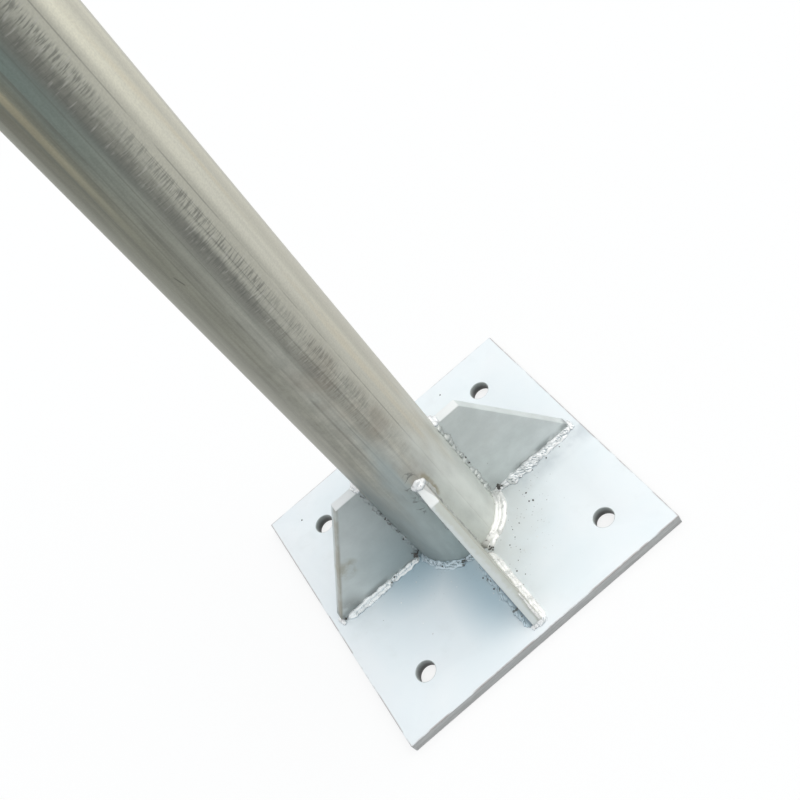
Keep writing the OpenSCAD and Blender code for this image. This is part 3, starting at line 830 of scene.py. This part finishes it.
dabs = [(0.07, 0.30, 0.58, 1, 0.25, 0.0, -0.12), (0.33, 0.60, 0.50, 1, 0.28, 0.1, -0.12),
        (0.63, 1.00, 0.56, 1, 0.25, 0.0, -0.12)]
seam_strokes = {"front_a": [(0.07, 1.00, 0.36, 1, 0.10, 0.0, -0.10), (0.80, 0.99, 0.85, 3, 0.10, 0.3, -0.30)],
                "right_b": [(0.07, 0.36, 0.70, 1, 0.25, 0.3, -0.12), (0.36, 0.64, 0.60, 1, 0.28, 0.3, -0.12),
                            (0.65, 1.00, 0.72, 1, 0.25, 0.3, -0.12)]}
clean_weld = weld_silver("clean_weld", (0.52, 0.53, 0.50, 1), (0.72, 0.73, 0.70, 1), 0.76, 0.1)
# The faint copy is painted shade on the seams on the shaded side.
faint_weld = weld_silver("faint_weld", (0.30, 0.34, 0.34, 1), (0.48, 0.53, 0.53, 1), 0.60, 0.1)
seam_finish = {"front_a": clean_weld, "front_b": faint_weld, "left_a": faint_weld}
for quarter, side in enumerate(SIDES):
    for letter, hand in (("a", 1), ("b", -1)):
        run = f"{side}_{letter}"
        lay_run(f"weld_seam_{run}", seam_corner(quarter, hand), seam_strokes.get(run, dabs),
                seam_leg, seam_leg, seam_seed + 2 * quarter + hand, seam_finish.get(run, pitted_weld),
                f"seam_weld_{run}")

# A short weld caps each gusset's top edge against the shaft. It is one round dab that laps
# over both faces of the gusset.
cap_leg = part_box("top_weld_right")[1].z - gusset_high.z


def cap_corner(quarter):
    """The corner between a gusset's top edge and the shaft, across the gusset."""
    turn = quarter_turn(quarter)
    reach = math.sqrt((shaft_r - shaft_taper_share * (gusset_high.z - deck)) ** 2 - gusset_half ** 2)

    def corner_at(share):
        point = Vector((reach, gusset_half * (1 - 2 * share), gusset_high.z))
        return turn @ point, turn @ Vector((0, -1, 0)), turn @ Vector((1, 0, 0)), Vector((0, 0, 1))

    return corner_at


cap_strokes = [(0.02, 0.98, 0.74, 2, 0.08, 0.0, -0.05)]
cap_seed = 110
for quarter, side in enumerate(SIDES):
    lay_run(f"weld_cap_{side}", cap_corner(quarter), cap_strokes, cap_leg, cap_leg, cap_seed + quarter,
            smooth_weld, f"top_weld_{side}")

# Slag and spatter: dark crusts left in the corners where welds meet, and small balls of weld metal
# that flew off and stuck to the plate. They are many small things, so they are one mesh each.
slag_voxel = 0.22 * MM
slag_dice = random.Random(4)
slag_spots = []
# The four clusters sit in the pits where welds meet: their near-black crust is slag, and also stands in for
# the shade in those pits.
for x, y, z, spread, lumps in ((43.5, -8, 17, 2.2, 22), (-40, -6.5, 18, 2.4, 22), (8.5, -44, 12.5, 2.6, 9),
                               (-15.5, -36.5, 12.5, 1.8, 8)):
    for _ in range(lumps):
        slag_spots.append((x + spread * slag_dice.gauss(0, 0.6), y + spread * slag_dice.gauss(0, 0.4),
                           z + spread * slag_dice.gauss(0, 0.35), slag_dice.uniform(0.35, 1.1)))
for x, y, z, size in ((-29, -27, 12, 0.8), (-9.5, -71, 10, 0.9), (-9.5, -82, 10, 0.7),
                      (38.2, -4.8, 66.8, 0.9), (38, -4.8, 59, 0.8), (38, -4.8, 89, 0.6), (39, -4.8, 41, 0.6),
                      (-36.5, -4.8, 83, 0.6), (-37, -4.8, 73.5, 0.8), (-37, -4.8, 59.5, 0.8),
                      (-38, -4.8, 41, 0.8), (86.5, -12, 10, 0.8), (72, -12, 10, 0.7), (100, -12, 10, 0.6),
                      (-68, -7.5, 12, 0.9), (-64, -6, 13.5, 0.8), (-114, -4.5, 11.5, 1.1), (-95, -9, 11, 0.6),
                      (0.7, -39.8, 119, 0.5), (0.2, -42, 117.5, 0.45), (-4.3, -37, 114, 0.7),
                      (-4.2, -39.5, 110, 0.6)):
    slag_spots.append((x, y, z, size))
spatter_spots = [(56.6, -33.8, 1.0), (53.8, -32.1, 0.8), (56.3, -24.6, 0.8), (36.9, -41.3, 0.5),
                 (27.6, -48.6, 0.5), (20.8, -51.1, 0.6), (8.9, -84.7, 0.8), (12.1, -72.3, 0.7), (5, -95, 0.6),
                 (-10.7, -57.6, 0.8), (24.5, -60, 0.5), (18, -66, 0.45), (30, -42, 0.45), (15.5, -79, 0.5),
                 (-100, 105.5, 0.8), (59.2, 111, 0.8)]

bpy.ops.object.select_all(action="DESELECT")
bpy.ops.mesh.primitive_ico_sphere_add(subdivisions=3, radius=1)
pebble = bpy.context.object
pebble_points = [v.co.copy() for v in pebble.data.vertices]
pebble_faces = [tuple(f.vertices) for f in pebble.data.polygons]
bpy.data.objects.remove(pebble)


def scatter(name, spots, flatness, seed, finish, fused=False):
    """Join a lump at each spot (x, y, z and radius in millimetres) into one piece. Fused lumps grow together
    where they meet."""
    dice = random.Random(seed)
    points, faces = [], []
    for x, y, z, size in spots:
        dents = [(Vector([dice.uniform(-1, 1) for _ in range(3)]).normalized(), dice.uniform(0.1, 0.35))
                 for _ in range(5)]
        base = len(points)
        for p in pebble_points:
            dent = sum(depth * max(0.0, p.dot(way)) ** 3 for way, depth in dents)
            lump = p * (1 - dent) * size * MM
            points.append(Vector((x, y, z)) * MM + Vector((lump.x, lump.y, lump.z * flatness)))
        faces += [tuple(base + k for k in face) for face in pebble_faces]
    piece = build_piece(name, points, faces)
    if fused:
        fuse(piece, slag_voxel)
    only(piece)
    bpy.ops.object.shade_smooth()
    hand_over(piece, finish)


def slag_crust():
    """Burnt slag: nearly black, rough and grainy."""
    burnt = Finish("slag_crust")
    crust = burnt.noise(900.0, 4.0)
    burnt.colour = burnt.mix(crust, (0.03, 0.03, 0.028, 1), (0.17, 0.165, 0.15, 1))
    return burnt.done(crust.band(0.3, 0.7, 0.35, 0.7), crust, 0.5, 0.3 * MM)


slag = slag_crust()
scatter("slag_and_pit_shade", slag_spots, 0.7, 5, slag, True)
scatter("dark_spatter", [(x, y, deck / MM, size) for x, y, size in spatter_spots], 0.5, 6, slag)
spatter_dice = random.Random(8)
painted_count = 90
painted_spots = []
for _ in range(painted_count):
    spread = spatter_dice.uniform(0, 2 * math.pi)
    away = 52 + 45 * spatter_dice.random() ** 2
    painted_spots.append((away * math.cos(spread), away * math.sin(spread), deck / MM,
                          0.3 + 0.35 * spatter_dice.random() ** 2))
scatter("painted_spatter", painted_spots, 0.6, 7, smooth_weld)

# The truck is a sand-cast aluminium cap that slips over the shaft's top, with two cheeks for the
# halyard sheave. Two set screws hold it; the sheave is turned and runs on a steel pin.
truck_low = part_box("truck_body")[0]
cast_edge_round = 0.8 * MM


def cast_aluminium(name, dark, light, fineness, depth):
    """Aluminium with a fine grain, and dull grey weathering."""
    metal = Finish(name)
    grain = metal.noise(fineness, 4.0)
    weather = metal.noise(35.0, 4.0)
    metal.colour = metal.mix(weather.band(0.3, 0.7), dark, light)
    metal.shade(grain.band(0.3, 0.7, 0.88, 1.06))
    return metal.done(weather.band(0.3, 0.7, 0.38, 0.55), grain, 0.3, depth, 0.55)


cast = cast_aluminium("cast_aluminium", (0.46, 0.47, 0.47, 1), (0.58, 0.59, 0.59, 1), 600.0, 0.4 * MM)


def dress_casting(node_name, piece_name, finish):
    """Copy a CAD solid, merge its loose triangles, round its edges and give it a finish."""
    piece = own_copy(frame["nodes"][node_name], piece_name)
    piece.parent = None
    piece.hide_render = False
    only(piece)
    bpy.ops.object.mode_set(mode="EDIT")
    bpy.ops.mesh.select_all(action="SELECT")
    bpy.ops.mesh.remove_doubles(threshold=0.01 * MM)
    bpy.ops.mesh.dissolve_limited(angle_limit=math.radians(0.5))
    bpy.ops.object.mode_set(mode="OBJECT")
    round_edges(piece, cast_edge_round, 35)
    smooth(piece, 35)
    piece.data.materials.clear()
    hand_over(piece, finish, node_name)
    return piece


dress_casting("truck_body", "cast_truck", cast)
dress_casting("sheave", "turned_sheave", cast)
dress_casting("sheave_pin", "steel_sheave_pin", cast)

set_screw_r = 3 * MM
set_screw_proud = 0.8 * MM
set_screw_rise = 12 * MM
set_screw_depth = 2 * MM
set_screw_rounding = 0.3 * MM
set_screw_hex_r = 1.6 * MM
zinc = cast_aluminium("zinc_plate", (0.42, 0.42, 0.40, 1), (0.55, 0.55, 0.53, 1), 900.0, 0.03 * MM)


def make_screw(radius, depth, rounding, cutters):
    """Turn a screw's end that points up, round its rim and cut its recess."""
    bpy.ops.object.select_all(action="DESELECT")
    bpy.ops.mesh.primitive_cylinder_add(vertices=32, radius=radius, depth=depth, location=(0, 0, depth / 2))
    screw = bpy.context.object
    fix_in_place(screw)
    round_edges(screw, rounding, 40, 4)
    for sides, reach, turn_degrees in cutters:
        bpy.ops.object.select_all(action="DESELECT")
        bpy.ops.mesh.primitive_cylinder_add(vertices=sides, radius=1, depth=depth, location=(0, 0, depth))
        cutter = bpy.context.object
        cutter.scale = (*reach, 1)
        cutter.rotation_euler.z = math.radians(turn_degrees)
        fix_in_place(cutter)
        finish_with(screw, "BOOLEAN", operation="DIFFERENCE", solver="EXACT", object=cutter)
        bpy.data.objects.remove(cutter)
    smooth(screw, 35)
    return screw


def place_screws(first_screw, names, spots):
    """Copy a screw to each spot, a place and the way that its end points, and remove the first."""
    for name, (spot, way) in zip(names, spots):
        screw = own_copy(first_screw, name)
        screw.rotation_euler = Vector(way).to_track_quat("Z", "Y").to_euler()
        screw.location = spot
        fix_in_place(screw)
        hand_over(screw, zinc)
    bpy.data.objects.remove(first_screw)


set_spots = []
for turn_degrees in (125, 235):
    away = Vector((math.cos(math.radians(turn_degrees)), math.sin(math.radians(turn_degrees)), 0))
    seat = away * (set_screw_proud - set_screw_depth - truck_low.x)
    set_spots.append((seat + Vector((0, 0, truck_low.z + set_screw_rise)), away))
hexagon = [(6, (set_screw_hex_r, set_screw_hex_r), 0)]
place_screws(make_screw(set_screw_r, set_screw_depth, set_screw_rounding, hexagon),
             ("set_screw_a", "set_screw_b"), set_spots)

# The finial is a hollow ball spun from aluminium sheet in two halves, seamed round its middle and
# polished to a satin sheen. It sits on a turned stem with two collars.
ball_low, ball_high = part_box("finial_ball")
ball_middle = (ball_low + ball_high) / 2
ball_r = (ball_high.x - ball_low.x) / 2
ball_middle.z = ball_high.z - ball_r
ball_seam_half = 1.2 * MM
ball_seam_depth = 0.5 * MM
ball_wall = 1.5 * MM


def spun_aluminium():
    """Spun sheet: fine rings round the upright axis under a satin polish."""
    sheet = Finish("spun_aluminium")
    rings = sheet.noise(1.0, 4.0, (4, 4, 900), rough=0.7)
    sheet.colour = sheet.mix(rings.band(0.3, 0.7), (0.58, 0.58, 0.565, 1), (0.70, 0.70, 0.685, 1))
    sheet.shade(sheet.noise(14.0, 3.0).band(0.3, 0.7, 0.92, 1.04))
    return sheet.done(rings.band(0.3, 0.7, 0.28, 0.42), rings, 0.15, 0.05 * MM, 0.6)


dress_casting("finial_stem", "turned_finial_stem", cast)

bpy.ops.object.select_all(action="DESELECT")
bpy.ops.mesh.primitive_uv_sphere_add(segments=96, ring_count=48, radius=ball_r, location=ball_middle)
ball = bpy.context.object
ball.name = "spun_finial_ball"
fix_in_place(ball)
bpy.ops.object.mode_set(mode="EDIT")
for side in (-1, 1):
    bpy.ops.mesh.select_all(action="SELECT")
    bpy.ops.mesh.bisect(plane_co=ball_middle + Vector((0, 0, side * ball_seam_half)), plane_no=(0, 0, 1))
bpy.ops.mesh.select_all(action="SELECT")
bpy.ops.mesh.bisect(plane_co=(0, 0, ball_low.z), plane_no=(0, 0, 1), clear_inner=True)
bpy.ops.object.mode_set(mode="OBJECT")
for vertex in ball.data.vertices:
    if abs(vertex.co.z - ball_middle.z) < ball_seam_half / 2:
        vertex.co -= Vector((vertex.co.x, vertex.co.y, 0)).normalized() * ball_seam_depth
finish_with(ball, "SOLIDIFY", thickness=ball_wall, offset=-1)
smooth(ball, 40)
hand_over(ball, spun_aluminium(), "finial_ball")

# The cleat is one aluminium casting with two horns for the halyard, fixed to the shaft at hand
# height by two pan-head screws between its legs.
cleat_low, cleat_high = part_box("cleat")
cleat_middle = (cleat_low + cleat_high) / 2
cleat_screw_r = 3.3 * MM
cleat_screw_high = 2.2 * MM
cleat_screw_apart = 17 * MM
cleat_screw_rounding = 0.9 * MM
recess_long = 2.0 * MM
recess_wide = 0.5 * MM
cleat = dress_casting("cleat", "cast_cleat", cast)
between_legs = Vector((cleat_middle.x, 0, cleat_middle.z))
pad_face = cleat.ray_cast(between_legs, Vector((-1, 0, 0)))[1].x
screw_spots = [((pad_face, 0, cleat_middle.z + side * cleat_screw_apart / 2), (1, 0, 0)) for side in (-1, 1)]
recess = [(4, (recess_long, recess_wide), 0), (4, (recess_wide, recess_long), 0)]
place_screws(make_screw(cleat_screw_r, cleat_screw_high, cleat_screw_rounding, recess),
             ("cleat_screw_lower", "cleat_screw_upper"), screw_spots)

# The floor is a plain pale sheet that keeps the flagpole's shadow.
# It looks white to the camera and in reflections, and throws little light back onto the foot.
floor_side = 60
floor_glow_share = 0.78
bpy.ops.object.select_all(action="DESELECT")
bpy.ops.mesh.primitive_plane_add(size=floor_side, location=(0, 0, 0))
floor = bpy.context.object
floor.name = "floor"
floor_material = bpy.data.materials.new("pale_floor")
floor_material.use_nodes = True
floor_tree = floor_material.node_tree
floor_tree.nodes.clear()


def seen_directly(tree):
    """1 for camera, glossy and transmission rays."""
    seen = pattern(tree, "ShaderNodeLightPath", "Is Camera Ray")
    return seen.most(seen.other("Is Glossy Ray")).most(seen.other("Is Transmission Ray"))


floor_seen = seen_directly(floor_tree)
floor_tone = blend(floor_tree, floor_seen, (0.38, 0.38, 0.37, 1), (0.95, 0.95, 0.94, 1))
matt = pattern(floor_tree, "ShaderNodeBsdfDiffuse", 0, Color=floor_tone)
glow = pattern(floor_tree, "ShaderNodeEmission", 0, Color=(1, 1, 1, 1), Strength=1.0)
floor_mix = pattern(floor_tree, "ShaderNodeMixShader", 0, i0=floor_seen * floor_glow_share, i1=matt, i2=glow)
add_node(floor_tree, "ShaderNodeOutputMaterial", Surface=floor_mix)
floor.data.materials.append(floor_material)

# Soft daylight: an open sky that is brightest overhead, and one broad lamp on the right.
# The sky lights matt surfaces only; the camera and reflections see plain white.
zenith_strength = 1.7
horizon_strength = 0.06
world = bpy.data.worlds.new("sky")
bpy.context.scene.world = world
world.use_nodes = True
world_tree = world.node_tree
world_tree.nodes.clear()
sky_up = axes_of(world_tree, pattern(world_tree, "ShaderNodeTexCoord", "Generated"))[2].most(0.0)
sky_level = sky_up * sky_up * zenith_strength + horizon_strength
sky = pattern(world_tree, "ShaderNodeBackground", 0, Color=(0.94, 0.97, 1.0, 1), Strength=sky_level)
white = pattern(world_tree, "ShaderNodeBackground", 0, Color=(1, 1, 1, 1), Strength=1.0)
world_mix = pattern(world_tree, "ShaderNodeMixShader", 0, i0=seen_directly(world_tree), i1=sky, i2=white)
add_node(world_tree, "ShaderNodeOutputWorld", Surface=world_mix)

lamp_data = bpy.data.lights.new("broad_lamp", "SUN")
lamp_data.energy = 0.85
lamp_data.angle = math.radians(70)
lamp_data.color = (1.0, 0.98, 0.93)
lamp = bpy.data.objects.new("broad_lamp", lamp_data)
bpy.context.scene.collection.objects.link(lamp)
lamp_from = Vector((0.9, -0.12, 0.8))
lamp.rotation_euler = lamp_from.to_track_quat("Z", "Y").to_euler()

# The camera looks down on the foot from the near side, turned so that the shaft leaves the
# picture at the upper left.
camera_place = Vector((0.02038, -0.50352, 0.68860))
camera_aim = Vector((0.03053, 0.13740, 0.010))
camera_roll = math.radians(-40.02)
camera_data = bpy.data.cameras.new("camera")
camera_data.sensor_width = 36
camera_data.lens = 47.97
camera = bpy.data.objects.new("camera", camera_data)
bpy.context.scene.collection.objects.link(camera)
level = (camera_aim - camera_place).to_track_quat("-Z", "Y").to_matrix()
rolled = level @ Matrix.Rotation(camera_roll, 3, "Z")
camera.matrix_world = Matrix.Translation(camera_place) @ rolled.to_4x4()
bpy.context.scene.camera = camera
bpy.context.scene.view_settings.view_transform = "Standard"
